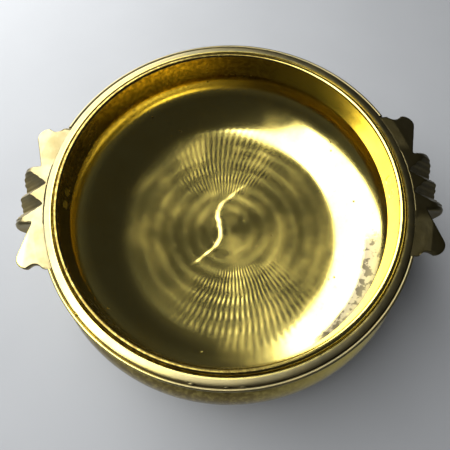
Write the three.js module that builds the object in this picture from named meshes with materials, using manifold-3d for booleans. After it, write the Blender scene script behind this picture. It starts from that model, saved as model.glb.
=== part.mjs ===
// Brass urli bowl: a cast and turned bowl with a flat rim band and two ribbed lug handles.
//
// The bowl swells below a short upright neck. A separate rim ring sits on a ledge round the
// neck, and each handle is seated in a cut in the ring's bead and held by two studs that pass
// through the neck and are hammered over flush on the inside.
//
// Millimetres, +Z up. The origin is the centre of the flat base, and the handles lie on X.

import * as THREE from 'three';
import { mergeVertices } from 'three/addons/utils/BufferGeometryUtils.js';
import Module from 'manifold-3d';

const wasm = await Module();
wasm.setup();

// ---- Driving dimensions -------------------------------------------------------------------

const TOTAL_HEIGHT = 108; // table to the top of the lip
const FIT_GAP = 0.3; // clearance between neighbouring pieces

const NECK_INNER_RADIUS = 129;
const NECK_WALL = 5;
const NECK_DEPTH = 22; // lip down to the inner corner where the wall swells out
const LEDGE_WIDTH = 1.5; // step round the neck that carries the rim ring
const NECK_FOOT_RISE = 3; // outer corner of the neck above the inner one
const LIP_ROUND = 2.2; // radius of the rounded lip

const BELLY_SWELL = 22; // how far the widest level stands out beyond the neck
const BELLY_DROP = 52; // lip down to the widest level
const BELLY_WALL = 3.5;
const FLOOR_THICKNESS = 4; // at the middle, before the recess
const DISH_RADIUS = 514; // the floor's inside is a shallow dish, part of a sphere of this radius
const CORNER_WIDTH = 42; // belly's inside in to the dish's edge
const CORNER_LEAD = 7; // how far the corner's curve first runs on in line with the dish
const BASE_RADIUS = 56; // flat ring that the bowl stands on
const RECESS_RADIUS = 44; // shallow turned recess inside that ring
const RECESS_DEPTH = 1;

// How far the handles of the walls' curves reach, as shares of the span that each crosses.
const FOOT_OUT = 0.57; // outside, from the base outwards
const FOOT_UP = 0.095; // outside, from the base upwards
const BELLY_FALL_OUTSIDE = 0.46; // below the widest level
const BELLY_FALL_INSIDE = 0.45;
const BELLY_RISE = 0.6; // above the widest level
const NECK_FALL_OUTSIDE = 0.18; // below the neck
const NECK_FALL_INSIDE = 0.13;
const NECK_FLARE_OUTSIDE = 1.5; // mm that the wall leaves the neck outwards
const NECK_FLARE_INSIDE = 5;

const RING_WIDTH = 8.7; // from the joint at the lip to the outside of the bead
const RING_HEIGHT = 7;
const RING_DROP = 0.6; // lip top down to the ring's top
const BEAD_WIDTH = 3; // thin bead outside the incised line
const INCISION_WIDTH = 1;
const INCISION_DEPTH = 0.9;
const RING_CHAMFER = 0.8;
const RING_CROWN = 0.2; // band's fall from the lip's side to the incised line
const BEAD_DROP = 0.4; // bead's top below the band's

const HANDLE_LENGTH = 119; // across both wings, along Y
const HANDLE_DROP = 1.5; // lip top down to the wings' top face
const WING_THICKNESS = 5;
const WING_BEVEL = 0.8;
const LOBE_RADIUS = 9.3; // round outer corner of each wing
const LOBE_REACH = 11.5; // from the ring's outside out to the lobe's edge, along X
const CUSP_REACH = 4; // small point beyond the ring's outside at each end of the handle
const NOTCH_DEPTH = 3; // how far the notch beside the cusp cuts in, along Y
const WAIST_REACH = 5; // wing edge beyond the ring's outside beside the barrel

const RIB_COUNT = 3;
const RIB_PITCH = 17.8;
const BARREL_RADIUS = 15.4;
const BARREL_REACH = 7.5; // from the ring's outside out to the barrel's axis
const BARREL_HALF_LENGTH = 25;
const BARREL_ROUND = 2.5;
const SHOULDER_DEPTH = 24.6; // solid behind the barrel, from the top face down
const GROOVE_HALF_ANGLE = 52; // degrees, either side of the V-groove's middle plane
const GROOVE_FALL = 34.5; // degrees that the groove's bottom falls outwards below level
const GROOVE_SET_BACK = 10; // groove bottom behind the barrel's axis, at the top face
const GROOVE_LENGTH = 90;
const GROOVE_REACH = 67; // part of that length that runs outwards from the top face

const STUD_RADIUS = 2.5;
const STUD_HEAD_RADIUS = 4;
const STUD_HEAD_DEPTH = 1.6;
const STUD_HEAD_RECESS = 0.1; // head's face under the neck's surface
const STUD_LENGTH = 16;
const STUD_TIP_CHAMFER = 0.5;
const STUD_SPACING = 12; // between the two studs of one handle
const STUD_DROP = 5; // ring's underside down to the studs' axes

const TURNED_SEGMENTS = 72;
const STUD_SEGMENTS = 20;
const BARREL_SEGMENTS = 40;
const LIP_STEPS = 6;
const DISH_STEPS = 5;

// ---- Sizes that follow from them ----------------------------------------------------------

const NECK_OUTER_RADIUS = NECK_INNER_RADIUS + NECK_WALL;
const RING_INNER_RADIUS = NECK_OUTER_RADIUS + FIT_GAP;
const RING_OUTER_RADIUS = RING_INNER_RADIUS + RING_WIDTH;
const RING_TOP = TOTAL_HEIGHT - RING_DROP;
const RING_BOTTOM = RING_TOP - RING_HEIGHT;
const INCISION_RADIUS = RING_OUTER_RADIUS - BEAD_WIDTH;
const LEDGE_LEVEL = RING_BOTTOM - FIT_GAP;
const LEDGE_RADIUS = NECK_OUTER_RADIUS + LEDGE_WIDTH;
const NECK_CORNER = TOTAL_HEIGHT - NECK_DEPTH;
const NECK_FOOT = NECK_CORNER + NECK_FOOT_RISE;
const BELLY_RADIUS = NECK_OUTER_RADIUS + BELLY_SWELL;
const BELLY_INNER_RADIUS = BELLY_RADIUS - BELLY_WALL;
const BELLY_LEVEL = TOTAL_HEIGHT - BELLY_DROP;
const WING_TOP = TOTAL_HEIGHT - HANDLE_DROP;
const HANDLE_END = HANDLE_LENGTH / 2;
const BARREL_X = RING_OUTER_RADIUS + BARREL_REACH;
const BARREL_Z = WING_TOP - BARREL_RADIUS;
const STUD_LEVEL = RING_BOTTOM - STUD_DROP;

// ---- Helpers ------------------------------------------------------------------------------

const point = (x, y) => new THREE.Vector2(x, y);
const bend = (a, b, c, d, steps) => new THREE.CubicBezierCurve(a, b, c, d).getPoints(steps);

// A solid for cutting and joining, from a closed geometry.
function solid(geometry) {
  const bare = geometry.clone();
  bare.deleteAttribute('normal');
  bare.deleteAttribute('uv');
  const merged = mergeVertices(bare, 1e-4);
  const corners = merged.index.array;
  const triangles = [];
  for (let i = 0; i < corners.length; i += 3) {
    const [a, b, c] = corners.slice(i, i + 3);
    if (a !== b && b !== c && c !== a) triangles.push(a, b, c);
  }
  return new wasm.Manifold(new wasm.Mesh({
    numProp: 3,
    vertProperties: Float32Array.from(merged.attributes.position.array),
    triVerts: Uint32Array.from(triangles),
  }));
}

function geometryOf(body) {
  const { vertProperties, triVerts } = body.getMesh();
  const geometry = new THREE.BufferGeometry();
  geometry.setAttribute('position', new THREE.BufferAttribute(Float32Array.from(vertProperties), 3));
  geometry.setIndex(new THREE.BufferAttribute(Uint32Array.from(triVerts), 1));
  geometry.computeVertexNormals();
  return geometry;
}

// A solid turned about Z from a profile of (radius, height) points, listed anticlockwise.
function turned(profile, segments = TURNED_SEGMENTS) {
  return solid(new THREE.LatheGeometry(profile, segments).rotateX(Math.PI / 2));
}

// A flat slab with a plan outline, between two levels.
function slab(outline, bottom, top, bevel = 0, curveSegments = 8) {
  const geometry = new THREE.ExtrudeGeometry(outline, {
    depth: top - bottom - 2 * bevel,
    bevelEnabled: bevel > 0,
    bevelThickness: bevel,
    bevelSize: bevel,
    bevelOffset: -bevel,
    bevelSegments: 1,
    curveSegments,
  });
  return solid(geometry.translate(0, 0, bottom + bevel));
}

// ---- Bowl ---------------------------------------------------------------------------------

// The outside from the base up to the foot of the neck, grown outwards by a clearance.
function outerWall(clearance = 0) {
  const spread = BELLY_RADIUS - BASE_RADIUS;
  const rise = NECK_FOOT - BELLY_LEVEL;
  const base = point(BASE_RADIUS, 0);
  const widest = point(BELLY_RADIUS, BELLY_LEVEL);
  const foot = point(LEDGE_RADIUS, NECK_FOOT);
  const wall = [
    ...bend(base, point(BASE_RADIUS + spread * FOOT_OUT, BELLY_LEVEL * FOOT_UP),
      point(BELLY_RADIUS, BELLY_LEVEL * (1 - BELLY_FALL_OUTSIDE)), widest, 11),
    ...bend(widest, point(BELLY_RADIUS, BELLY_LEVEL + rise * BELLY_RISE),
      point(LEDGE_RADIUS + NECK_FLARE_OUTSIDE, NECK_FOOT - rise * NECK_FALL_OUTSIDE), foot, 8).slice(1),
  ];
  return wall.map((p) => point(p.x + clearance, p.y + clearance));
}

// The floor's inside at a radius.
function dish(radius) {
  return point(radius, FLOOR_THICKNESS + DISH_RADIUS - Math.sqrt(DISH_RADIUS ** 2 - radius ** 2));
}

// The inside from the neck's corner down to the middle of the floor.
function innerWall() {
  const inside = BELLY_INNER_RADIUS;
  const rise = NECK_CORNER - BELLY_LEVEL;
  const corner = point(NECK_INNER_RADIUS, NECK_CORNER);
  const widest = point(inside, BELLY_LEVEL);
  const edge = dish(inside - CORNER_WIDTH);
  const slope = Math.asin(edge.x / DISH_RADIUS);
  const lead = point(edge.x + CORNER_LEAD * Math.cos(slope), edge.y + CORNER_LEAD * Math.sin(slope));
  const wall = [
    ...bend(corner, point(NECK_INNER_RADIUS + NECK_FLARE_INSIDE, NECK_CORNER - rise * NECK_FALL_INSIDE),
      point(inside, BELLY_LEVEL + rise * BELLY_RISE), widest, 7),
    ...bend(widest, point(inside, BELLY_LEVEL - (BELLY_LEVEL - edge.y) * BELLY_FALL_INSIDE),
      lead, edge, 8).slice(1),
  ];
  for (let step = 1; step <= DISH_STEPS; step += 1) {
    wall.push(dish(edge.x * (1 - step / DISH_STEPS)));
  }
  return wall;
}

// Half-round lip, from its outside over the top to the inside of the neck.
function lip() {
  const middle = NECK_INNER_RADIUS + LIP_ROUND;
  const points = [];
  for (let step = 0; step <= LIP_STEPS; step += 1) {
    const angle = (Math.PI * step) / LIP_STEPS;
    points.push(point(middle + LIP_ROUND * Math.cos(angle),
      TOTAL_HEIGHT - LIP_ROUND + LIP_ROUND * Math.sin(angle)));
  }
  return points;
}

function bowlBody() {
  return turned([
    point(0, RECESS_DEPTH),
    point(RECESS_RADIUS, RECESS_DEPTH),
    point(RECESS_RADIUS + RECESS_DEPTH, 0),
    ...outerWall(),
    point(LEDGE_RADIUS, LEDGE_LEVEL),
    point(NECK_OUTER_RADIUS, LEDGE_LEVEL),
    point(NECK_OUTER_RADIUS, RING_TOP - INCISION_DEPTH),
    ...lip(),
    ...innerWall(),
  ]);
}

// ---- Rim ring -----------------------------------------------------------------------------

function rimRing() {
  const halfCut = INCISION_WIDTH / 2;
  const ring = turned([
    point(RING_INNER_RADIUS, RING_BOTTOM),
    point(RING_OUTER_RADIUS - RING_CHAMFER, RING_BOTTOM),
    point(RING_OUTER_RADIUS, RING_BOTTOM + RING_CHAMFER),
    point(RING_OUTER_RADIUS, RING_TOP - 2 * RING_CHAMFER),
    point(RING_OUTER_RADIUS - RING_CHAMFER, RING_TOP - BEAD_DROP),
    point(INCISION_RADIUS + halfCut, RING_TOP - BEAD_DROP),
    point(INCISION_RADIUS, RING_TOP - BEAD_DROP - INCISION_DEPTH),
    point(INCISION_RADIUS - halfCut, RING_TOP - RING_CROWN),
    point(RING_INNER_RADIUS + RING_CHAMFER, RING_TOP),
    point(RING_INNER_RADIUS, RING_TOP - RING_CHAMFER),
    point(RING_INNER_RADIUS, RING_BOTTOM),
  ]);
  return ring.subtract(handleSeats());
}

// The room that both handles take out of the ring's bead.
function handleSeats() {
  const reach = RING_OUTER_RADIUS + LOBE_REACH;
  const halfLength = HANDLE_END + FIT_GAP;
  const block = new THREE.BoxGeometry(2 * reach, 2 * halfLength, 3 * RING_HEIGHT);
  const core = new THREE.CylinderGeometry(
    INCISION_RADIUS, INCISION_RADIUS, 4 * RING_HEIGHT, TURNED_SEGMENTS).rotateX(Math.PI / 2);
  block.translate(0, 0, RING_TOP - RING_HEIGHT / 2);
  core.translate(0, 0, RING_TOP - RING_HEIGHT / 2);
  return solid(block).subtract(solid(core));
}

// ---- Handles ------------------------------------------------------------------------------

// Plan outline of both wings, from the bowl's middle round the outside. The bowl is cut away later.
function wingOutline() {
  const lobeX = RING_OUTER_RADIUS + LOBE_REACH - LOBE_RADIUS;
  const lobeY = HANDLE_END - LOBE_RADIUS;
  const cuspX = Math.sqrt(RING_OUTER_RADIUS ** 2 - HANDLE_END ** 2) + CUSP_REACH;
  const waistX = RING_OUTER_RADIUS + WAIST_REACH;
  const outline = new THREE.Shape();
  outline.moveTo(0, -HANDLE_END);
  outline.lineTo(cuspX, -HANDLE_END);
  outline.quadraticCurveTo((cuspX + lobeX) / 2, NOTCH_DEPTH * 2 - HANDLE_END, lobeX, -HANDLE_END);
  outline.absarc(lobeX, -lobeY, LOBE_RADIUS, -Math.PI / 2, 0, false);
  outline.lineTo(waistX, -BARREL_HALF_LENGTH);
  outline.lineTo(waistX, BARREL_HALF_LENGTH);
  outline.lineTo(lobeX + LOBE_RADIUS, lobeY);
  outline.absarc(lobeX, lobeY, LOBE_RADIUS, 0, Math.PI / 2, false);
  outline.quadraticCurveTo((cuspX + lobeX) / 2, HANDLE_END - NOTCH_DEPTH * 2, cuspX, HANDLE_END);
  outline.lineTo(0, HANDLE_END);
  outline.closePath();
  return outline;
}

// Round barrel along Y, with the block behind it that backs on to the neck.
function barrel() {
  const straight = BARREL_HALF_LENGTH - BARREL_ROUND;
  const side = BARREL_RADIUS - BARREL_ROUND;
  const diagonal = BARREL_ROUND * Math.SQRT1_2; // middle of the rounded edge from its centre
  const round = new THREE.LatheGeometry([
    point(0, -BARREL_HALF_LENGTH),
    point(side, -BARREL_HALF_LENGTH),
    point(side + diagonal, -straight - diagonal),
    point(BARREL_RADIUS, -straight),
    point(BARREL_RADIUS, straight),
    point(side + diagonal, straight + diagonal),
    point(side, BARREL_HALF_LENGTH),
    point(0, BARREL_HALF_LENGTH),
  ], BARREL_SEGMENTS).translate(BARREL_X, 0, BARREL_Z);
  const depth = BARREL_X - NECK_INNER_RADIUS;
  const block = new THREE.BoxGeometry(depth, 2 * straight, BARREL_RADIUS);
  block.translate(NECK_INNER_RADIUS + depth / 2, 0, WING_TOP - BARREL_RADIUS / 2);
  const shoulder = new THREE.BoxGeometry(BARREL_RADIUS, 2 * straight, SHOULDER_DEPTH);
  shoulder.translate(BARREL_X - BARREL_RADIUS / 2, 0, WING_TOP - SHOULDER_DEPTH / 2);
  return solid(round).add(solid(block)).add(solid(shoulder));
}

// V-grooves between the ribs: deep in the top face, shallow at the barrel's outside.
function grooves() {
  const height = 2 * BARREL_RADIUS;
  const halfWidth = height * Math.tan(THREE.MathUtils.degToRad(GROOVE_HALF_ANGLE));
  const section = new THREE.Shape([point(0, 0), point(height, -halfWidth), point(height, halfWidth)]);
  const tilt = THREE.MathUtils.degToRad(GROOVE_FALL - 90);
  const cuts = [];
  for (let gap = 1; gap < RIB_COUNT; gap += 1) {
    const middle = (gap - RIB_COUNT / 2) * RIB_PITCH;
    const wedge = new THREE.ExtrudeGeometry(section, { depth: GROOVE_LENGTH, bevelEnabled: false });
    // Before tilting, the section opens along X and the wedge runs inwards along Z.
    wedge.translate(0, 0, -GROOVE_REACH).rotateY(tilt);
    wedge.translate(BARREL_X - GROOVE_SET_BACK, middle, WING_TOP);
    cuts.push(solid(wedge));
  }
  return cuts;
}

// Everything of the bowl and the ring that a handle keeps clear of.
function handleKeepOut() {
  const seatRadius = INCISION_RADIUS + FIT_GAP;
  return turned([
    point(0, 0),
    ...outerWall(FIT_GAP),
    point(LEDGE_RADIUS + FIT_GAP, RING_BOTTOM - FIT_GAP),
    point(seatRadius, RING_BOTTOM - FIT_GAP),
    point(seatRadius, TOTAL_HEIGHT + RING_HEIGHT),
    point(0, TOTAL_HEIGHT + RING_HEIGHT),
  ]);
}

// The right-hand handle. The left one is the same casting, turned half round.
function handle() {
  const wings = slab(wingOutline(), WING_TOP - WING_THICKNESS, WING_TOP, WING_BEVEL);
  let body = wings.add(barrel()).subtract(handleKeepOut());
  for (const cut of [...grooves(), ...studPlaces().map((y) => studHole(y))]) {
    body = body.subtract(cut);
  }
  return body;
}

// ---- Studs --------------------------------------------------------------------------------

function studPlaces() {
  return [-STUD_SPACING / 2, STUD_SPACING / 2];
}

// A solid turned about a stud's axis, which points outwards along X from the neck's inside.
function alongStud(profile, y) {
  const geometry = new THREE.LatheGeometry(profile, STUD_SEGMENTS).rotateX(Math.PI / 2);
  return solid(geometry.rotateY(Math.PI / 2).translate(NECK_INNER_RADIUS, y, STUD_LEVEL));
}

// Countersunk head on the inside of the neck, and a plain shank that ends inside the handle.
function stud(y) {
  const start = STUD_HEAD_RECESS;
  const tip = start + STUD_LENGTH;
  return alongStud([
    point(0, start),
    point(STUD_HEAD_RADIUS, start),
    point(STUD_RADIUS, start + STUD_HEAD_DEPTH),
    point(STUD_RADIUS, tip - STUD_TIP_CHAMFER),
    point(STUD_RADIUS - STUD_TIP_CHAMFER, tip),
    point(0, tip),
  ], y);
}

function studHole(y) {
  const clear = STUD_RADIUS + FIT_GAP;
  const mouth = STUD_HEAD_RADIUS + FIT_GAP;
  return alongStud([
    point(0, -NECK_WALL),
    point(mouth, -NECK_WALL),
    point(mouth, FIT_GAP),
    point(clear, STUD_HEAD_DEPTH + FIT_GAP),
    point(clear, STUD_LENGTH + 2 * FIT_GAP),
    point(0, STUD_LENGTH + 2 * FIT_GAP),
  ], y);
}

// ---- Assembly -----------------------------------------------------------------------------

function brass(color, roughness) {
  return new THREE.MeshStandardMaterial({ color, roughness, metalness: 1 });
}

function piece(name, body, material) {
  const mesh = new THREE.Mesh(geometryOf(body), material);
  mesh.name = name;
  return mesh;
}

const SIDES = [
  { side: 'right', turn: 0, ends: ['front', 'back'] },
  { side: 'left', turn: Math.PI, ends: ['back', 'front'] },
];

// The bowl with both pairs of stud holes cut through its neck.
function drilledBowl() {
  let body = bowlBody();
  for (const { turn } of SIDES) {
    const degrees = THREE.MathUtils.radToDeg(turn);
    for (const y of studPlaces()) body = body.subtract(studHole(y).rotate([0, 0, degrees]));
  }
  return body;
}

function urli() {
  const turnedBrass = brass(0xc9a24a, 0.3);
  const rimBrass = brass(0xbfa45a, 0.35);
  const castBrass = brass(0xb59a55, 0.45);
  const studBrass = brass(0xa88436, 0.4);

  const model = new THREE.Group();
  model.add(piece('bowl_body', drilledBowl(), turnedBrass));
  model.add(piece('rim_ring', rimRing(), rimBrass));
  for (const { side, turn, ends } of SIDES) {
    const assembly = new THREE.Group();
    assembly.rotation.z = turn;
    assembly.add(piece(`${side}_handle`, handle(), castBrass));
    studPlaces().forEach((y, index) => {
      assembly.add(piece(`${side}_${ends[index]}_stud`, stud(y), studBrass));
    });
    model.add(assembly);
  }
  return model;
}

export default urli();
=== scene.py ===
import math

import bmesh
import bpy
from mathutils import Matrix, Vector, noise


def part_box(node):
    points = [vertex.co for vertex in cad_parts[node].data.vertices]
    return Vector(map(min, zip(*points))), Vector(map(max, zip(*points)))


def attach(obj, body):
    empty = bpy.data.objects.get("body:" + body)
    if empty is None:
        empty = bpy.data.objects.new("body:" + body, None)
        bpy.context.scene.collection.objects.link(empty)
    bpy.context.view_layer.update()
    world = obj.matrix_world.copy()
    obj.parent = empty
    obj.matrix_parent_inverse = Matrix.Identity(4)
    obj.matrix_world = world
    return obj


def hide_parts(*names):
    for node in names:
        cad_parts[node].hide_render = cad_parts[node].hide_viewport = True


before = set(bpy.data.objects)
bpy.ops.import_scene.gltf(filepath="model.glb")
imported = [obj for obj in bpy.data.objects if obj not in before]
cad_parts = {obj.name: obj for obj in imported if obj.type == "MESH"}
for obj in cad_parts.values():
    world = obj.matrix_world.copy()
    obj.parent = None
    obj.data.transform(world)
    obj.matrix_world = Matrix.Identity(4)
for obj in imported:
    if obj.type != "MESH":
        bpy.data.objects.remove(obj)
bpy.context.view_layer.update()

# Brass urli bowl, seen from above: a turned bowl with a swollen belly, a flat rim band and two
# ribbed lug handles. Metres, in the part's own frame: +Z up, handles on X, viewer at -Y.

MM = 0.001

# ---- Sizes ---------------------------------------------------------------------------------

BOWL_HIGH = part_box("bowl_body")[1]
RIM_LOW, RIM_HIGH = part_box("rim_ring")
STUD_LOW, STUD_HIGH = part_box("right_front_stud")
HANDLE_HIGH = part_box("right_handle")[1]

HEIGHT = BOWL_HIGH.z                 # table to the top of the lip
BELLY_RADIUS = BOWL_HIGH.x
RING_RADIUS = RIM_HIGH.y             # outside of the bead
SEAT_RADIUS = RIM_HIGH.x             # the incised line, where the handles' seats are cut to
RING_TOP = RIM_HIGH.z
RING_BOTTOM = RIM_LOW.z
STUD_RECESS = 0.1 * MM               # the studs' heads lie this far under the neck's surface
NECK_INNER = STUD_LOW.x - STUD_RECESS
HANDLE_HALF = HANDLE_HIGH.y
WING_TOP = HANDLE_HIGH.z

GAP = 0.3 * MM
NECK_WALL = 5 * MM
NECK_DEPTH = 22 * MM                 # lip down to the inner corner where the wall swells out
NECK_FOOT_RISE = 3 * MM
LEDGE_WIDTH = 1.5 * MM
LIP_ROUND = 2.2 * MM
BELLY_DROP = 52 * MM                 # lip down to the widest level
BELLY_WALL = 3.5 * MM
FLOOR_THICKNESS = 4 * MM
DISH_RADIUS = 514 * MM               # the floor's inside is a shallow dish, part of this sphere
CORNER_WIDTH = 42 * MM               # belly's inside in to the dish's edge
CORNER_LEAD = 7 * MM
BASE_RADIUS = 56 * MM
RECESS_RADIUS = 44 * MM
RECESS_DEPTH = 1 * MM
INCISION_DEPTH = 0.9 * MM
RING_CHAMFER = 0.8 * MM
BEAD_DROP = 0.4 * MM

NECK_OUTER = NECK_INNER + NECK_WALL
RING_INNER = NECK_OUTER + GAP
LEDGE_RADIUS = NECK_OUTER + LEDGE_WIDTH
NECK_CORNER = HEIGHT - NECK_DEPTH
NECK_FOOT = NECK_CORNER + NECK_FOOT_RISE
BELLY_LEVEL = HEIGHT - BELLY_DROP
BELLY_INNER = BELLY_RADIUS - BELLY_WALL

# Marks on the floor: low waves round the middle, and an S-shaped step across it.
WAVE_PITCH = 14 * MM
WAVE_HEIGHT = 0.085 * MM
STEP_HEIGHT = 0.32 * MM
STEP_HALF_WIDTH = 3.6 * MM
STEP_RUN_OUT = 35 * MM               # the step falls back to the floor over this length
STEP_SWAY = 10 * MM
STEP_FRONT = -31 * MM
STEP_LENGTH = 77 * MM

STUD_HEAD_RADIUS = 4 * MM
STUD_RADIUS = 2.5 * MM
STUD_HEAD_DEPTH = 1.6 * MM
STUD_CHAMFER = 0.5 * MM

RIB_PITCH = 17.8 * MM
BARREL_HALF_LENGTH = 25 * MM


# ---- Camera --------------------------------------------------------------------------------

def look(location, heading, fall, roll, lens):
    """A camera whose view heads away from +Y towards +X, falls below level and rolls, in degrees."""
    heading, fall, roll = (math.radians(a) for a in (heading, fall, roll))
    forward = Vector((math.sin(heading) * math.cos(fall), math.cos(heading) * math.cos(fall),
                      -math.sin(fall)))
    right = Vector((math.cos(heading), -math.sin(heading), 0))
    up = right.cross(forward)
    across = right * math.cos(roll) + up * math.sin(roll)
    upright = up * math.cos(roll) - right * math.sin(roll)
    data = bpy.data.cameras.new("camera")
    data.lens = lens
    data.sensor_width = 36
    camera = bpy.data.objects.new("camera", data)
    camera.matrix_world = Matrix((across, upright, -forward)).transposed().to_4x4()
    camera.location = location
    bpy.context.collection.objects.link(camera)
    bpy.context.scene.camera = camera


look(Vector((-0.0114, -0.854, 1.695)) * SEAT_RADIUS + Vector((0, 0, RING_TOP)),
     heading=-0.86, fall=69.69, roll=-2.80, lens=27.64)


# ---- Mesh helpers --------------------------------------------------------------------------

def new_object(name, data):
    piece = bpy.data.objects.new(name, data)
    bpy.context.collection.objects.link(piece)
    return piece


def bezier(a, b, c, d, steps):
    """Points of one cubic curve, from a to d."""
    points = []
    for i in range(steps + 1):
        t = i / steps
        s = 1 - t
        weights = (s ** 3, 3 * s * s * t, 3 * s * t * t, t ** 3)
        points.append(tuple(sum(w * p[axis] for w, p in zip(weights, (a, b, c, d))) for axis in (0, 1)))
    return points


def turned(name, profile, segments, closed=False, shape=None):
    """A solid turned about Z from (radius, height) points. shape(radius, height, angle, index) may
    move each point. A point on the axis becomes one vertex."""
    verts = []
    rings = []
    for index, (radius, height) in enumerate(profile):
        count = 1 if radius < 1e-7 else segments
        rings.append(range(len(verts), len(verts) + count))
        for i in range(count):
            angle = 2 * math.pi * i / segments
            r, z = shape(radius, height, angle, index) if shape else (radius, height)
            verts.append((r * math.cos(angle), r * math.sin(angle), z))
    pairs = list(zip(rings, rings[1:]))
    if closed:
        pairs.append((rings[-1], rings[0]))
    faces = []
    for lower, upper in pairs:
        for i in range(segments):
            j = (i + 1) % segments
            corners = (lower[i % len(lower)], lower[j % len(lower)],
                       upper[j % len(upper)], upper[i % len(upper)])
            faces.append(tuple(dict.fromkeys(corners)))
    data = bpy.data.meshes.new(name)
    data.from_pydata(verts, [], faces)
    smooth(data)
    return new_object(name, data)


def step_between(value, low, high):
    """0 below low, 1 above high and smooth between them."""
    t = min(1, max(0, (value - low) / (high - low)))
    return t * t * (3 - 2 * t)


def smooth(data):
    data.polygons.foreach_set("use_smooth", [True] * len(data.polygons))
    data.update()


def outward(piece):
    """Turns all faces out."""
    mesh = bmesh.new()
    mesh.from_mesh(piece.data)
    bmesh.ops.recalc_face_normals(mesh, faces=mesh.faces)
    mesh.to_mesh(piece.data)
    mesh.free()


def apply_modifiers(piece):
    graph = bpy.context.evaluated_depsgraph_get()
    data = bpy.data.meshes.new_from_object(piece.evaluated_get(graph))
    piece.modifiers.clear()
    old = piece.data
    piece.data = data
    bpy.data.meshes.remove(old)


def cut_away(piece, cutters):
    """Cuts each cutter out of the piece and deletes it."""
    for cutter in cutters:
        outward(cutter)
        cut = piece.modifiers.new("cut", "BOOLEAN")
        cut.operation = "DIFFERENCE"
        cut.solver = "EXACT"
        cut.object = cutter
    apply_modifiers(piece)
    for cutter in cutters:
        bpy.data.objects.remove(cutter, do_unlink=True)


def sharpen(piece, degrees):
    """Smooth shading that breaks at real edges."""
    mesh = bmesh.new()
    mesh.from_mesh(piece.data)
    limit = math.radians(degrees)
    for edge in mesh.edges:
        if len(edge.link_faces) == 2 and edge.calc_face_angle(0) > limit:
            edge.smooth = False
    mesh.to_mesh(piece.data)
    mesh.free()
    smooth(piece.data)


def keep(piece, material, slot, *nodes):
    piece.data.materials.clear()
    piece.data.materials.append(material)
    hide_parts(*nodes)
    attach(piece, "root")


# ---- Node helpers --------------------------------------------------------------------------

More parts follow.
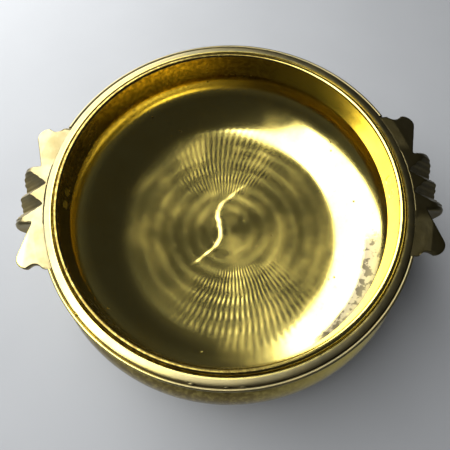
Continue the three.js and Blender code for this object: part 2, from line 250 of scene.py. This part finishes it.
class Shader:
    """A material's node tree, with short ways to add and join its nodes."""

    def __init__(self, name):
        self.material = bpy.data.materials.new(name)
        self.material.use_nodes = True
        self.nodes = self.material.node_tree.nodes
        self.links = self.material.node_tree.links
        self.shader = self.nodes["Principled BSDF"]

    def put(self, value, socket):
        if isinstance(value, bpy.types.NodeSocket):
            self.links.new(value, socket)
        elif isinstance(value, tuple) and len(value) < len(socket.default_value):
            socket.default_value = (*value, 1)
        else:
            socket.default_value = value

    def math(self, operation, a, b=None, c=None):
        node = self.nodes.new("ShaderNodeMath")
        node.operation = operation
        for value, socket in zip((a, b, c), node.inputs):
            if value is not None:
                self.put(value, socket)
        return node.outputs[0]

    def place(self):
        """Object coordinates in millimetres, and the radius and angle (in turns) about Z."""
        coordinates = self.nodes.new("ShaderNodeTexCoord").outputs["Object"]
        scaled = self.nodes.new("ShaderNodeVectorMath")
        scaled.operation = "SCALE"
        self.put(coordinates, scaled.inputs[0])
        self.put(1 / MM, scaled.inputs["Scale"])
        point = scaled.outputs[0]
        parts = self.nodes.new("ShaderNodeSeparateXYZ")
        self.put(point, parts.inputs[0])
        x, y, z = parts.outputs
        radius = self.math("SQRT", self.math("MULTIPLY_ADD", x, x, self.math("MULTIPLY", y, y)))
        turn = self.math("DIVIDE", self.math("ARCTAN2", y, x), 2 * math.pi)
        return point, x, y, z, radius, turn

    def vector(self, x, y, z):
        node = self.nodes.new("ShaderNodeCombineXYZ")
        for value, socket in zip((x, y, z), node.inputs):
            self.put(value, socket)
        return node.outputs[0]

    def noise(self, where, size, detail=2, roughness=0.5, stretch=None):
        """Noise from 0 to 1 with features of about this size, in the units of where."""
        node = self.nodes.new("ShaderNodeTexNoise")
        if stretch:
            mapping = self.nodes.new("ShaderNodeMapping")
            self.put(where, mapping.inputs["Vector"])
            mapping.inputs["Scale"].default_value = stretch
            where = mapping.outputs[0]
        self.put(where, node.inputs["Vector"])
        node.inputs["Scale"].default_value = 1 / size
        node.inputs["Detail"].default_value = detail
        node.inputs["Roughness"].default_value = roughness
        return node.outputs["Fac"]

    def cells(self, where, size):
        """Distance to the nearest random point, and a random number for its cell."""
        node = self.nodes.new("ShaderNodeTexVoronoi")
        self.put(where, node.inputs["Vector"])
        node.inputs["Scale"].default_value = 1 / size
        parts = self.nodes.new("ShaderNodeSeparateColor")
        self.put(node.outputs["Color"], parts.inputs[0])
        return node.outputs["Distance"], parts.outputs[0]

    def ramp(self, value, low, high, to_low=0.0, to_high=1.0):
        """A smooth step from to_low to to_high as value goes from low to high."""
        node = self.nodes.new("ShaderNodeMapRange")
        node.interpolation_type = "SMOOTHSTEP"
        self.put(value, node.inputs["Value"])
        for number, name in ((low, "From Min"), (high, "From Max"), (to_low, "To Min"), (to_high, "To Max")):
            self.put(number, node.inputs[name])
        return node.outputs["Result"]

    def bell(self, value, middle, width):
        """1 at the middle, falling smoothly to 0 at this distance from it."""
        away = self.math("ABSOLUTE", self.math("SUBTRACT", value, middle))
        return self.ramp(away, 0, width, 1, 0)

    def mix(self, factor, a, b):
        node = self.nodes.new("ShaderNodeMix")
        node.data_type = "RGBA"
        self.put(factor, node.inputs["Factor"])
        self.put(a, node.inputs[6])
        self.put(b, node.inputs[7])
        return node.outputs[2]

    def bump(self, height):
        """A bump from a height in millimetres."""
        node = self.nodes.new("ShaderNodeBump")
        self.put(height, node.inputs["Height"])
        node.inputs["Distance"].default_value = MM
        return node.outputs[0]

    def round_z(self):
        """Stretches the gloss across the turning lines, which run round Z."""
        tangent = self.nodes.new("ShaderNodeTangent")
        tangent.direction_type = "RADIAL"
        tangent.axis = "Z"
        self.put(tangent.outputs[0], self.shader.inputs["Tangent"])

    def finish(self, **inputs):
        for name, value in inputs.items():
            self.put(value, self.shader.inputs[name.replace("_", " ")])
        return self.material


# ---- Materials -----------------------------------------------------------------------------

BRASS = (0.83, 0.69, 0.20)
OLD_BRASS = (0.34, 0.26, 0.09)
DIRT = (0.035, 0.028, 0.016)
TARNISH = (0.055, 0.06, 0.12)
DEEP_BRASS = (0.76, 0.61, 0.16)
BROWN_SKIN_AND_SHADE = (0.115, 0.075, 0.016)
DULL_BAND = (0.24, 0.215, 0.115)
DULL_BAND_WARM = (0.30, 0.25, 0.12)
PAINTED_SHADE_BAND = (0.10, 0.08, 0.03)
DULL_CASTING = (0.30, 0.26, 0.14)
DULL_CASTING_WARM = (0.22, 0.18, 0.08)
PAINTED_SHADE_CASTING = (0.06, 0.048, 0.015)

STREAK_RADIUS = 137                  # the tarnish streak, in millimetres and turns
STREAK_HALF_WIDTH = 10
STREAK_TURN = -0.088
STREAK_HALF_TURN = 0.1
CHATTER_HEIGHT = 0.034
CHATTER_COUNT = 104                  # marks in one turn


def chatter(s, radius, turn, z):
    """Height of the tool's chatter on the floor: short dashes across the turning lines."""
    twist = s.math("MULTIPLY", radius, 0.03)
    polar = s.vector(s.math("MULTIPLY", radius, 0.07), s.math("MULTIPLY", turn, 14), 0.0)
    drift = s.math("MULTIPLY", s.noise(polar, 1, detail=1), 0.7)
    phase = s.math("ADD", s.math("MULTIPLY_ADD", turn, CHATTER_COUNT, twist), drift)
    wave = s.math("SINE", s.math("MULTIPLY", phase, 2 * math.pi))
    front = s.bell(turn, -0.235, 0.19)
    back = s.bell(turn, 0.24, 0.2)
    patchy = s.ramp(s.noise(polar, 0.9, detail=2), 0.3, 0.65, 0.5, 1)
    spread = s.math("MAXIMUM", front, s.math("MAXIMUM", s.math("MULTIPLY", back, 0.7), 0.14))
    strength = s.math("MULTIPLY", patchy, spread)
    rings = s.math("SINE", s.math("MULTIPLY", radius, 2 * math.pi / (WAVE_PITCH / MM)))
    strength = s.math("MULTIPLY", strength, s.math("MULTIPLY_ADD", rings, 0.3, 0.7))
    strength = s.math("MULTIPLY", strength, s.ramp(radius, 26, 60))
    strength = s.math("MULTIPLY", strength, s.ramp(radius, 95, 130, 1, 0.1))
    strength = s.math("MULTIPLY", strength, s.ramp(z, 40, 55, 1, 0))
    return s.math("MULTIPLY", s.math("MULTIPLY", wave, strength), CHATTER_HEIGHT)


def turned_brass():
    s = Shader("turned_brass")
    point, x, y, z, radius, turn = s.place()
    round_and_up = s.vector(radius, z, s.math("MULTIPLY", turn, 60))
    lines = s.noise(round_and_up, 0.9, detail=3, stretch=(1, 1, 0.12))
    broad = s.noise(point, 34, detail=4)
    fine = s.noise(point, 3.5, detail=4)
    patches = s.noise(s.vector(radius, z, s.math("MULTIPLY", turn, 400)), 6, detail=3)

    # Pits: a few cells of a fine scatter, more of them near the middle.
    distance, chance = s.cells(point, 5.5)
    near_middle = s.bell(radius, 26, 26)
    rare = s.math("MULTIPLY_ADD", near_middle, -0.09, 0.975)
    pit = s.math("MULTIPLY", s.ramp(distance, 0.10, 0.19, 1, 0), s.math("GREATER_THAN", chance, rare))

    # A streak of tarnish low on the right-hand wall.
    streak = s.ramp(s.bell(radius, STREAK_RADIUS, STREAK_HALF_WIDTH), 0.15, 0.6)
    streak = s.math("MULTIPLY", streak, s.ramp(s.bell(turn, STREAK_TURN, STREAK_HALF_TURN), 0.05, 0.4))
    streak = s.math("MULTIPLY", streak, s.ramp(z, 20, 60, 1, 0))
    blotch = s.noise(point, 9, detail=5, roughness=0.62)
    tarnish = s.math("MULTIPLY", streak, s.ramp(blotch, 0.26, 0.38))
    dark = s.math("MULTIPLY", streak, s.ramp(blotch, 0.50, 0.56))

    colour = s.mix(s.ramp(broad, 0.35, 0.7), BRASS, DEEP_BRASS)
    colour = s.mix(s.ramp(fine, 0.55, 0.8, 0, 0.35), colour, OLD_BRASS)
    colour = s.mix(s.math("MULTIPLY", tarnish, 0.85), colour, TARNISH)
    colour = s.mix(s.math("MAXIMUM", pit, s.math("MULTIPLY", dark, 0.9)), colour, DIRT)

    # Brown skin and painted shade above the floor, inside and out, most of it away from the right-hand side.
    high = s.ramp(z, 34, 62)
    away = s.ramp(s.math("ABSOLUTE", s.math("ADD", turn, 0.02)), 0.12, 0.24, 0.15, 1)
    skin = s.math("MULTIPLY", s.math("MULTIPLY", high, away), s.ramp(fine, 0.3, 0.6, 0.7, 1))
    colour = s.mix(s.math("MULTIPLY", skin, 0.9), colour, BROWN_SKIN_AND_SHADE)

    rough = s.math("MULTIPLY_ADD", lines, 0.06, 0.09)
    rough = s.math("ADD", rough, s.math("MULTIPLY", skin, 0.12))
    rough = s.math("ADD", rough, s.ramp(broad, 0.4, 0.75, 0, 0.06))
    rough = s.math("MAXIMUM", rough, s.math("MULTIPLY", s.math("MAXIMUM", pit, tarnish), 0.5))

    height = s.math("MULTIPLY", lines, 0.006)
    height = s.math("ADD", height, s.math("MULTIPLY", patches, 0.018))
    height = s.math("ADD", height, chatter(s, radius, turn, z))
    height = s.math("MULTIPLY_ADD", pit, -0.35, height)
    height = s.math("MULTIPLY_ADD", s.noise(point, 1.1, detail=2), 0.006, height)
    s.round_z()
    return s.finish(Base_Color=colour, Metallic=1.0, Roughness=rough, Anisotropic=0.45,
                    Normal=s.bump(height))


def rim_brass():
    s = Shader("rim_brass")
    point, x, y, z, radius, turn = s.place()
    lines = s.noise(s.vector(radius, z, s.math("MULTIPLY", turn, 60)), 0.5, detail=3, stretch=(1, 1, 0.1))
    broad = s.noise(point, 22, detail=4)
    grime = s.noise(point, 5, detail=5, roughness=0.65)
    scratch = s.noise(point, 1.4, detail=2, stretch=(1, 0.25, 1))
    in_line = s.bell(radius, SEAT_RADIUS / MM, 0.8)
    in_line = s.math("MULTIPLY", in_line, s.ramp(z, RING_TOP / MM - 0.9, RING_TOP / MM - 0.35, 1, 0))
    # Painted highlight: the band is brighter, smoother brass at the front left. It is brighter along its
    # inner edge too.
    painted_highlight = s.math("MULTIPLY", s.bell(turn, -0.37, 0.1), s.ramp(broad, 0.3, 0.6, 0.5, 1))
    edge = s.bell(radius, RING_INNER / MM + 0.6, 0.9)
    bright = s.math("MAXIMUM", painted_highlight, s.math("MULTIPLY", edge, 0.8))
    dull = s.mix(s.ramp(broad, 0.3, 0.7), DULL_BAND, DULL_BAND_WARM)
    dull = s.mix(s.ramp(grime, 0.5, 0.72, 0, 0.6), dull, OLD_BRASS)
    # Painted shade: the band is darker at the right.
    dull = s.mix(s.math("MULTIPLY", s.bell(turn, 0, 0.22), 0.6), dull, PAINTED_SHADE_BAND)
    colour = s.mix(bright, dull, BRASS)
    colour = s.mix(in_line, colour, DIRT)
    rough = s.math("MULTIPLY_ADD", grime, 0.22, 0.26)
    rough = s.math("MULTIPLY", rough, s.math("MULTIPLY_ADD", bright, -0.45, 1))
    rough = s.math("MULTIPLY_ADD", scratch, 0.05, rough)
    height = s.math("MULTIPLY", lines, 0.008)
    height = s.math("MULTIPLY_ADD", grime, 0.03, height)
    height = s.math("MULTIPLY_ADD", scratch, 0.01, height)
    s.round_z()
    return s.finish(Base_Color=colour, Metallic=1.0, Roughness=rough, Anisotropic=0.3,
                    Normal=s.bump(height))


def cast_brass():
    s = Shader("cast_brass")
    point, x, y, z, radius, turn = s.place()
    broad = s.noise(point, 14, detail=4)
    grain = s.noise(point, 0.9, detail=4, roughness=0.6)
    file_marks = s.noise(point, 0.8, detail=2, stretch=(1, 0.12, 1))
    low = s.ramp(z, WING_TOP / MM - 12, WING_TOP / MM - 2, 1, 0)
    colour = s.mix(s.ramp(broad, 0.3, 0.7), DULL_CASTING, DULL_CASTING_WARM)
    # Painted highlight: the left handle's front lobe is bright brass.
    painted_highlight = s.math("MULTIPLY", s.ramp(x, -150, -146, 1, 0), s.ramp(y, -34, -26, 1, 0))
    colour = s.mix(painted_highlight, colour, BRASS)
    colour = s.mix(s.math("MULTIPLY", low, 0.55), colour, OLD_BRASS)
    colour = s.mix(s.ramp(grain, 0.6, 0.78, 0, 0.5), colour, OLD_BRASS)
    # Painted shade: the right-hand handle is darker.
    colour = s.mix(s.ramp(x, -20, 20, 0, 0.75), colour, PAINTED_SHADE_CASTING)
    rough = s.math("MULTIPLY_ADD", grain, 0.18, 0.26)
    rough = s.math("MULTIPLY_ADD", low, 0.12, rough)
    height = s.math("MULTIPLY", grain, 0.045)
    height = s.math("MULTIPLY_ADD", file_marks, 0.03, height)
    height = s.math("MULTIPLY_ADD", broad, 0.2, height)
    return s.finish(Base_Color=colour, Metallic=1.0, Roughness=rough, Normal=s.bump(height))


def stud_brass():
    s = Shader("stud_brass")
    point = s.place()[0]
    dents = s.cells(point, 1.6)[0]
    grime = s.noise(point, 2, detail=4)
    colour = s.mix(s.ramp(grime, 0.45, 0.7, 0, 0.8), BRASS, OLD_BRASS)
    height = s.math("MULTIPLY_ADD", dents, 0.12, s.math("MULTIPLY", grime, 0.08))
    return s.finish(Base_Color=colour, Metallic=1.0, Roughness=s.math("MULTIPLY_ADD", grime, 0.2, 0.2),
                    Normal=s.bump(height))


# ---- Bowl ----------------------------------------------------------------------------------

def outer_wall():
    spread = BELLY_RADIUS - BASE_RADIUS
    rise = NECK_FOOT - BELLY_LEVEL
    lower = bezier((BASE_RADIUS, 0), (BASE_RADIUS + spread * 0.57, BELLY_LEVEL * 0.095),
                   (BELLY_RADIUS, BELLY_LEVEL * 0.54), (BELLY_RADIUS, BELLY_LEVEL), 36)
    upper = bezier((BELLY_RADIUS, BELLY_LEVEL), (BELLY_RADIUS, BELLY_LEVEL + rise * 0.6),
                   (LEDGE_RADIUS + 1.5 * MM, NECK_FOOT - rise * 0.18), (LEDGE_RADIUS, NECK_FOOT), 24)
    return lower + upper[1:]


def dish(radius):
    return radius, FLOOR_THICKNESS + DISH_RADIUS - math.sqrt(DISH_RADIUS ** 2 - radius ** 2)


def inner_wall():
    rise = NECK_CORNER - BELLY_LEVEL
    edge = dish(BELLY_INNER - CORNER_WIDTH)
    slope = math.asin(edge[0] / DISH_RADIUS)
    lead = (edge[0] + CORNER_LEAD * math.cos(slope), edge[1] + CORNER_LEAD * math.sin(slope))
    fall = 0.45 * (BELLY_LEVEL - edge[1])
    upper = bezier((NECK_INNER, NECK_CORNER), (NECK_INNER + 5 * MM, NECK_CORNER - rise * 0.13),
                   (BELLY_INNER, BELLY_LEVEL + rise * 0.6), (BELLY_INNER, BELLY_LEVEL), 24)
    lower = bezier((BELLY_INNER, BELLY_LEVEL), (BELLY_INNER, BELLY_LEVEL - fall), lead, edge, 40)
    bottom = [dish(edge[0] * (1 - step / 90)) for step in range(1, 91)]
    return upper + eased(lower[1:] + bottom)


def eased(points):
    """Lets the corner run softly into the dish, with both ends held."""
    for _ in range(60):
        middle = [((a[0] + 2 * b[0] + c[0]) / 4, (a[1] + 2 * b[1] + c[1]) / 4)
                  for a, b, c in zip(points, points[1:], points[2:])]
        points = [points[0]] + middle + [points[-1]]
    return points


def lip():
    middle = NECK_INNER + LIP_ROUND
    points = []
    for step in range(13):
        angle = math.pi * step / 12
        points.append((middle + LIP_ROUND * math.cos(angle),
                       HEIGHT - LIP_ROUND + LIP_ROUND * math.sin(angle)))
    return points


def last_step(x, y):
    """Height of the S-shaped step in the middle of the floor, which rises towards the right."""
    along = (y - STEP_FRONT) / STEP_LENGTH
    line = 0.59 * y - 14 * MM + STEP_SWAY * math.sin(2 * math.pi * along)
    line += 1.5 * MM * noise.noise(Vector((0, y / (7 * MM), 0)))
    past = x - line
    ends = step_between(along, -0.12, 0.06) * (1 - step_between(along, 0.9, 1.2))
    rise = step_between(past, -STEP_HALF_WIDTH, STEP_HALF_WIDTH)
    return STEP_HEIGHT * ends * rise * math.exp(-max(0, past) / STEP_RUN_OUT)


def turning_marks(radius, angle):
    """Height of the marks that the tool left on the floor."""
    x, y = radius * math.cos(angle), radius * math.sin(angle)
    fade = min(1, radius / (3 * WAVE_PITCH)) * max(0, 1 - radius / BELLY_RADIUS)
    fade *= 0.25 + 0.75 * math.sin(angle) ** 2
    drift = 2 * MM * noise.noise(Vector((x, y, 0)) / (40 * MM))
    wave = WAVE_HEIGHT * fade * math.cos(2 * math.pi * (radius + drift) / WAVE_PITCH)
    return wave + last_step(x, y)


def stud_cone(name, y, side, grow, start, tip):
    """A stud, or its hole when grown, with its axis along X and its head on the neck's inside."""
    profile = [(0, start), (STUD_HEAD_RADIUS + grow, start), (STUD_RADIUS + grow, start + STUD_HEAD_DEPTH),
               (STUD_RADIUS + grow, tip - STUD_CHAMFER), (STUD_RADIUS + grow - STUD_CHAMFER, tip), (0, tip)]
    piece = turned(name, profile, 48)
    level = (STUD_LOW.z + STUD_HIGH.z) / 2
    along_x = Matrix.Rotation(math.radians(90), 4, "Y")
    piece.data.transform(Matrix.Translation((NECK_INNER, y, level)) @ along_x)
    if side < 0:
        piece.data.transform(Matrix.Rotation(math.pi, 4, "Z"))
    outward(piece)
    return piece


def stud_places():
    """The middle of each stud along Y, on the right-hand side."""
    return [(sum(corner.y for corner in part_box("right_" + end + "_stud")) / 2) for end in ("front", "back")]


def bowl():
    ledge = RING_BOTTOM - GAP
    profile = [(0, RECESS_DEPTH), (RECESS_RADIUS * 0.5, RECESS_DEPTH), (RECESS_RADIUS, RECESS_DEPTH),
               (RECESS_RADIUS + RECESS_DEPTH, 0)]
    profile += outer_wall()
    profile += [(LEDGE_RADIUS, ledge), (NECK_OUTER, ledge), (NECK_OUTER, RING_TOP - INCISION_DEPTH)]
    profile += lip()
    inside_from = len(profile)
    profile += inner_wall()

    def shape(radius, height, angle, index):
        if index >= inside_from and height < BELLY_LEVEL:
            height += turning_marks(radius, angle)
        return radius, height

    piece = turned("bowl", profile, 360, shape=shape)
    outward(piece)
    cutters = []
    for side in (1, -1):
        for y in stud_places():
            tip = STUD_HIGH.x - NECK_INNER + 2 * GAP
            cutters.append(stud_cone("hole", y, side, GAP, -GAP, tip))
    cut_away(piece, cutters)
    sharpen(piece, 40)
    keep(piece, turned_brass(), "turned_brass", "bowl_body")


def studs():
    material = stud_brass()
    for side, word in ((1, "right"), (-1, "left")):
        for y in stud_places():
            end = "front" if y * side < 0 else "back"
            node = word + "_" + end + "_stud"
            piece = stud_cone(node + "_hammered", y, side, 0, STUD_RECESS, STUD_HIGH.x - NECK_INNER)
            sharpen(piece, 30)
            keep(piece, material, "stud_brass", node)


# ---- Rim ring ------------------------------------------------------------------------------

# Where the incised line is bridged or shallow: azimuth in degrees and half width in mm.
BRIDGES = ((258.6, 1.6), (267.8, 1.4), (272.0, 1.8), (221.0, 0.8), (310.0, 0.9))


def line_depth(angle):
    """How deep the hand-cut line is here, as a share of its full depth."""
    depth = 0.8 + 0.25 * noise.noise(Vector((math.cos(angle), math.sin(angle), 0)) * 6)
    for azimuth, half_width in BRIDGES:
        away = abs(math.degrees(angle) - azimuth) * math.radians(1) * SEAT_RADIUS
        depth *= min(1, max(0, away / (half_width * MM) - 0.6))
    return depth


def rim_ring():
    band = RING_INNER + RING_CHAMFER
    line = SEAT_RADIUS
    top = RING_TOP
    profile = [(RING_INNER, RING_BOTTOM), (RING_RADIUS - RING_CHAMFER, RING_BOTTOM),
               (RING_RADIUS, RING_BOTTOM + RING_CHAMFER)]
    bead = (RING_RADIUS - line - 0.5 * MM) / 2
    bead_middle = RING_RADIUS - bead
    for step in range(9):
        angle = math.pi * step / 8
        profile.append((bead_middle + bead * math.cos(angle),
                        top - BEAD_DROP - bead + bead * math.sin(angle)))
    cut_from = len(profile)
    bottom = top - BEAD_DROP - INCISION_DEPTH
    profile += [(line + 0.1 * MM, bottom), (line - 0.15 * MM, bottom)]
    profile += [(line - 0.6 * MM, top - 0.25 * MM), (line - 1.1 * MM, top - 0.12 * MM)]
    for step in range(1, 6):
        across = step / 5
        crown = 0.12 * MM * (1 - (2 * across - 1) ** 2)
        profile.append((line - 1.1 * MM + (band - line + 1.1 * MM) * across, top - 0.12 * MM + crown))
    profile += [(RING_INNER + 0.25 * MM, top - 0.3 * MM), (RING_INNER, top - RING_CHAMFER)]

    def shape(radius, height, angle, index):
        wobble = Vector((math.cos(angle), math.sin(angle), radius * 40))
        if index in (cut_from, cut_from + 1):
            full = top - BEAD_DROP - INCISION_DEPTH
            height = top - 0.35 * MM + (full - top + 0.35 * MM) * line_depth(angle)
            radius += 0.15 * MM * noise.noise(wobble * 9)
        elif height > top - 0.3 * MM:
            height -= 0.12 * MM * (0.5 + 0.5 * noise.noise(wobble * 7))
        return radius, height

    piece = turned("rim_ring_turned", profile, 720, closed=True, shape=shape)
    outward(piece)
    cut_away(piece, [seat_cutter(side) for side in (1, -1)])
    sharpen(piece, 40)
    keep(piece, rim_brass(), "rim_brass", "rim_ring")


def seat_cutter(side):
    """The room that a handle takes out of the ring's bead."""
    half = HANDLE_HALF + GAP
    reach = math.asin(half / SEAT_RADIUS)
    plan = []
    for step in range(41):
        angle = reach * (step / 20 - 1)
        plan.append((side * SEAT_RADIUS * math.cos(angle), side * SEAT_RADIUS * math.sin(angle)))
    far = side * (RING_RADIUS + 10 * MM)
    plan += [(far, side * half), (far, -side * half)]
    low, high = RING_BOTTOM - 5 * MM, RING_TOP + 5 * MM
    count = len(plan)
    verts = [(x, y, low) for x, y in plan] + [(x, y, high) for x, y in plan]
    faces = [tuple(range(count)), tuple(range(count, 2 * count))]
    faces += [(i, (i + 1) % count, (i + 1) % count + count, i + count) for i in range(count)]
    data = bpy.data.meshes.new("seat")
    data.from_pydata(verts, [], faces)
    return new_object("seat", data)


# ---- Handles -------------------------------------------------------------------------------

COVE_SLOPE = 0.2


def handle(side, word):
    """The cast handle: the plain CAD casting, rounded over, with coves, striations and a skin."""
    node = word + "_handle"
    piece = new_object(node + "_cast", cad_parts[node].data.copy())
    remesh = piece.modifiers.new("even", "REMESH")
    remesh.mode = "VOXEL"
    remesh.voxel_size = 0.5 * MM
    ease = piece.modifiers.new("ease", "SMOOTH")
    ease.factor = 0.5
    ease.iterations = 14
    apply_modifiers(piece)
    data = piece.data
    low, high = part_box(node)
    normals = [vertex.normal.copy() for vertex in data.vertices]
    for vertex, normal in zip(data.vertices, normals):
        place = vertex.co
        radius = math.hypot(place.x, place.y)
        across = abs(place.y)
        upward = step_between(normal.z, 0.3, 0.9)
        # A cove slopes down to the band from the crest of each wing. One wing is nearly all cove.
        wing = step_between(across, BARREL_HALF_LENGTH - 2 * MM, BARREL_HALF_LENGTH + 8 * MM)
        dished = place.y * side < 0
        crest = SEAT_RADIUS + (13 if dished else 8) * MM
        place.z -= upward * wing * COVE_SLOPE * max(0, crest - radius)
        # Each groove between the ribs is cut in fine steps that run outwards.
        rib = 1 - step_between(across, BARREL_HALF_LENGTH - 4 * MM, BARREL_HALF_LENGTH)
        slope = 1 - step_between(normal.z, 0.82, 0.97)
        outside = step_between(radius, SEAT_RADIUS + 1 * MM, SEAT_RADIUS + 6 * MM)
        ridge = math.sin(2 * math.pi * place.y / (RIB_PITCH / 5))
        vertex.co -= normal * (0.28 * MM * (1 + ridge) * rib * slope * outside)
        # Cast skin.
        rough = noise.noise(place * (1 / (6 * MM))) + 0.4 * noise.noise(place * (1 / (2 * MM)))
        vertex.co -= normal * (0.06 * MM * (1 + rough))
        for axis in range(3):
            vertex.co[axis] = min(high[axis], max(low[axis], vertex.co[axis]))
    smooth(data)
    keep(piece, CAST_BRASS, "cast_brass", node)


# ---- Floor and light -----------------------------------------------------------------------

def floor():
    size = 4
    data = bpy.data.meshes.new("floor")
    data.from_pydata([(-size, -size, 0), (size, -size, 0), (size, size, 0), (-size, size, 0)], [],
                     [(0, 1, 2, 3)])
    piece = new_object("floor", data)
    s = Shader("floor")
    point = s.place()[0]
    shade = s.noise(point, 90, detail=3)
    colour = s.mix(shade, (0.29, 0.30, 0.312), (0.32, 0.33, 0.343))
    data.materials.append(s.finish(Base_Color=colour, Roughness=0.75))


def softbox(name, azimuth, elevation, twist, distance, width, height, power):
    """A soft rectangular light that faces the bowl. Azimuth is counted from +X towards +Y."""
    a, e = math.radians(azimuth), math.radians(elevation)
    away = Vector((math.cos(a) * math.cos(e), math.sin(a) * math.cos(e), math.sin(e)))
    side = Vector((0, 0, 1)).cross(away).normalized()
    up = away.cross(side)
    t = math.radians(twist)
    across = side * math.cos(t) + up * math.sin(t)
    upright = up * math.cos(t) - side * math.sin(t)
    data = bpy.data.lights.new(name, "AREA")
    data.shape = "RECTANGLE"
    data.size, data.size_y = width, height
    data.energy = power
    lamp = new_object(name, data)
    lamp.matrix_world = Matrix((across, upright, away)).transposed().to_4x4()
    lamp.location = away * distance + Vector((0, 0, HEIGHT / 2))


def surroundings():
    """A dim studio: pale at the horizon and dark overhead."""
    world = bpy.data.worlds.new("world")
    bpy.context.scene.world = world
    world.use_nodes = True
    nodes, links = world.node_tree.nodes, world.node_tree.links
    coordinates = nodes.new("ShaderNodeTexCoord")
    parts = nodes.new("ShaderNodeSeparateXYZ")
    ramp = nodes.new("ShaderNodeValToRGB")
    links.new(coordinates.outputs["Generated"], parts.inputs[0])
    links.new(parts.outputs["Z"], ramp.inputs[0])
    ramp.color_ramp.elements[0].color = (0.10, 0.105, 0.115, 1)
    ramp.color_ramp.elements[1].position = 0.5
    ramp.color_ramp.elements[1].color = (0.028, 0.028, 0.030, 1)
    links.new(ramp.outputs[0], nodes["Background"].inputs["Color"])


CAST_BRASS = cast_brass()
bowl()
studs()
rim_ring()
for side, word in ((1, "right"), (-1, "left")):
    handle(side, word)

floor()
softbox("window", 143, 45.1, -35.6, 0.97, 1.0, 1.96, 38)
surroundings()
bpy.context.scene.view_settings.view_transform = "Standard"
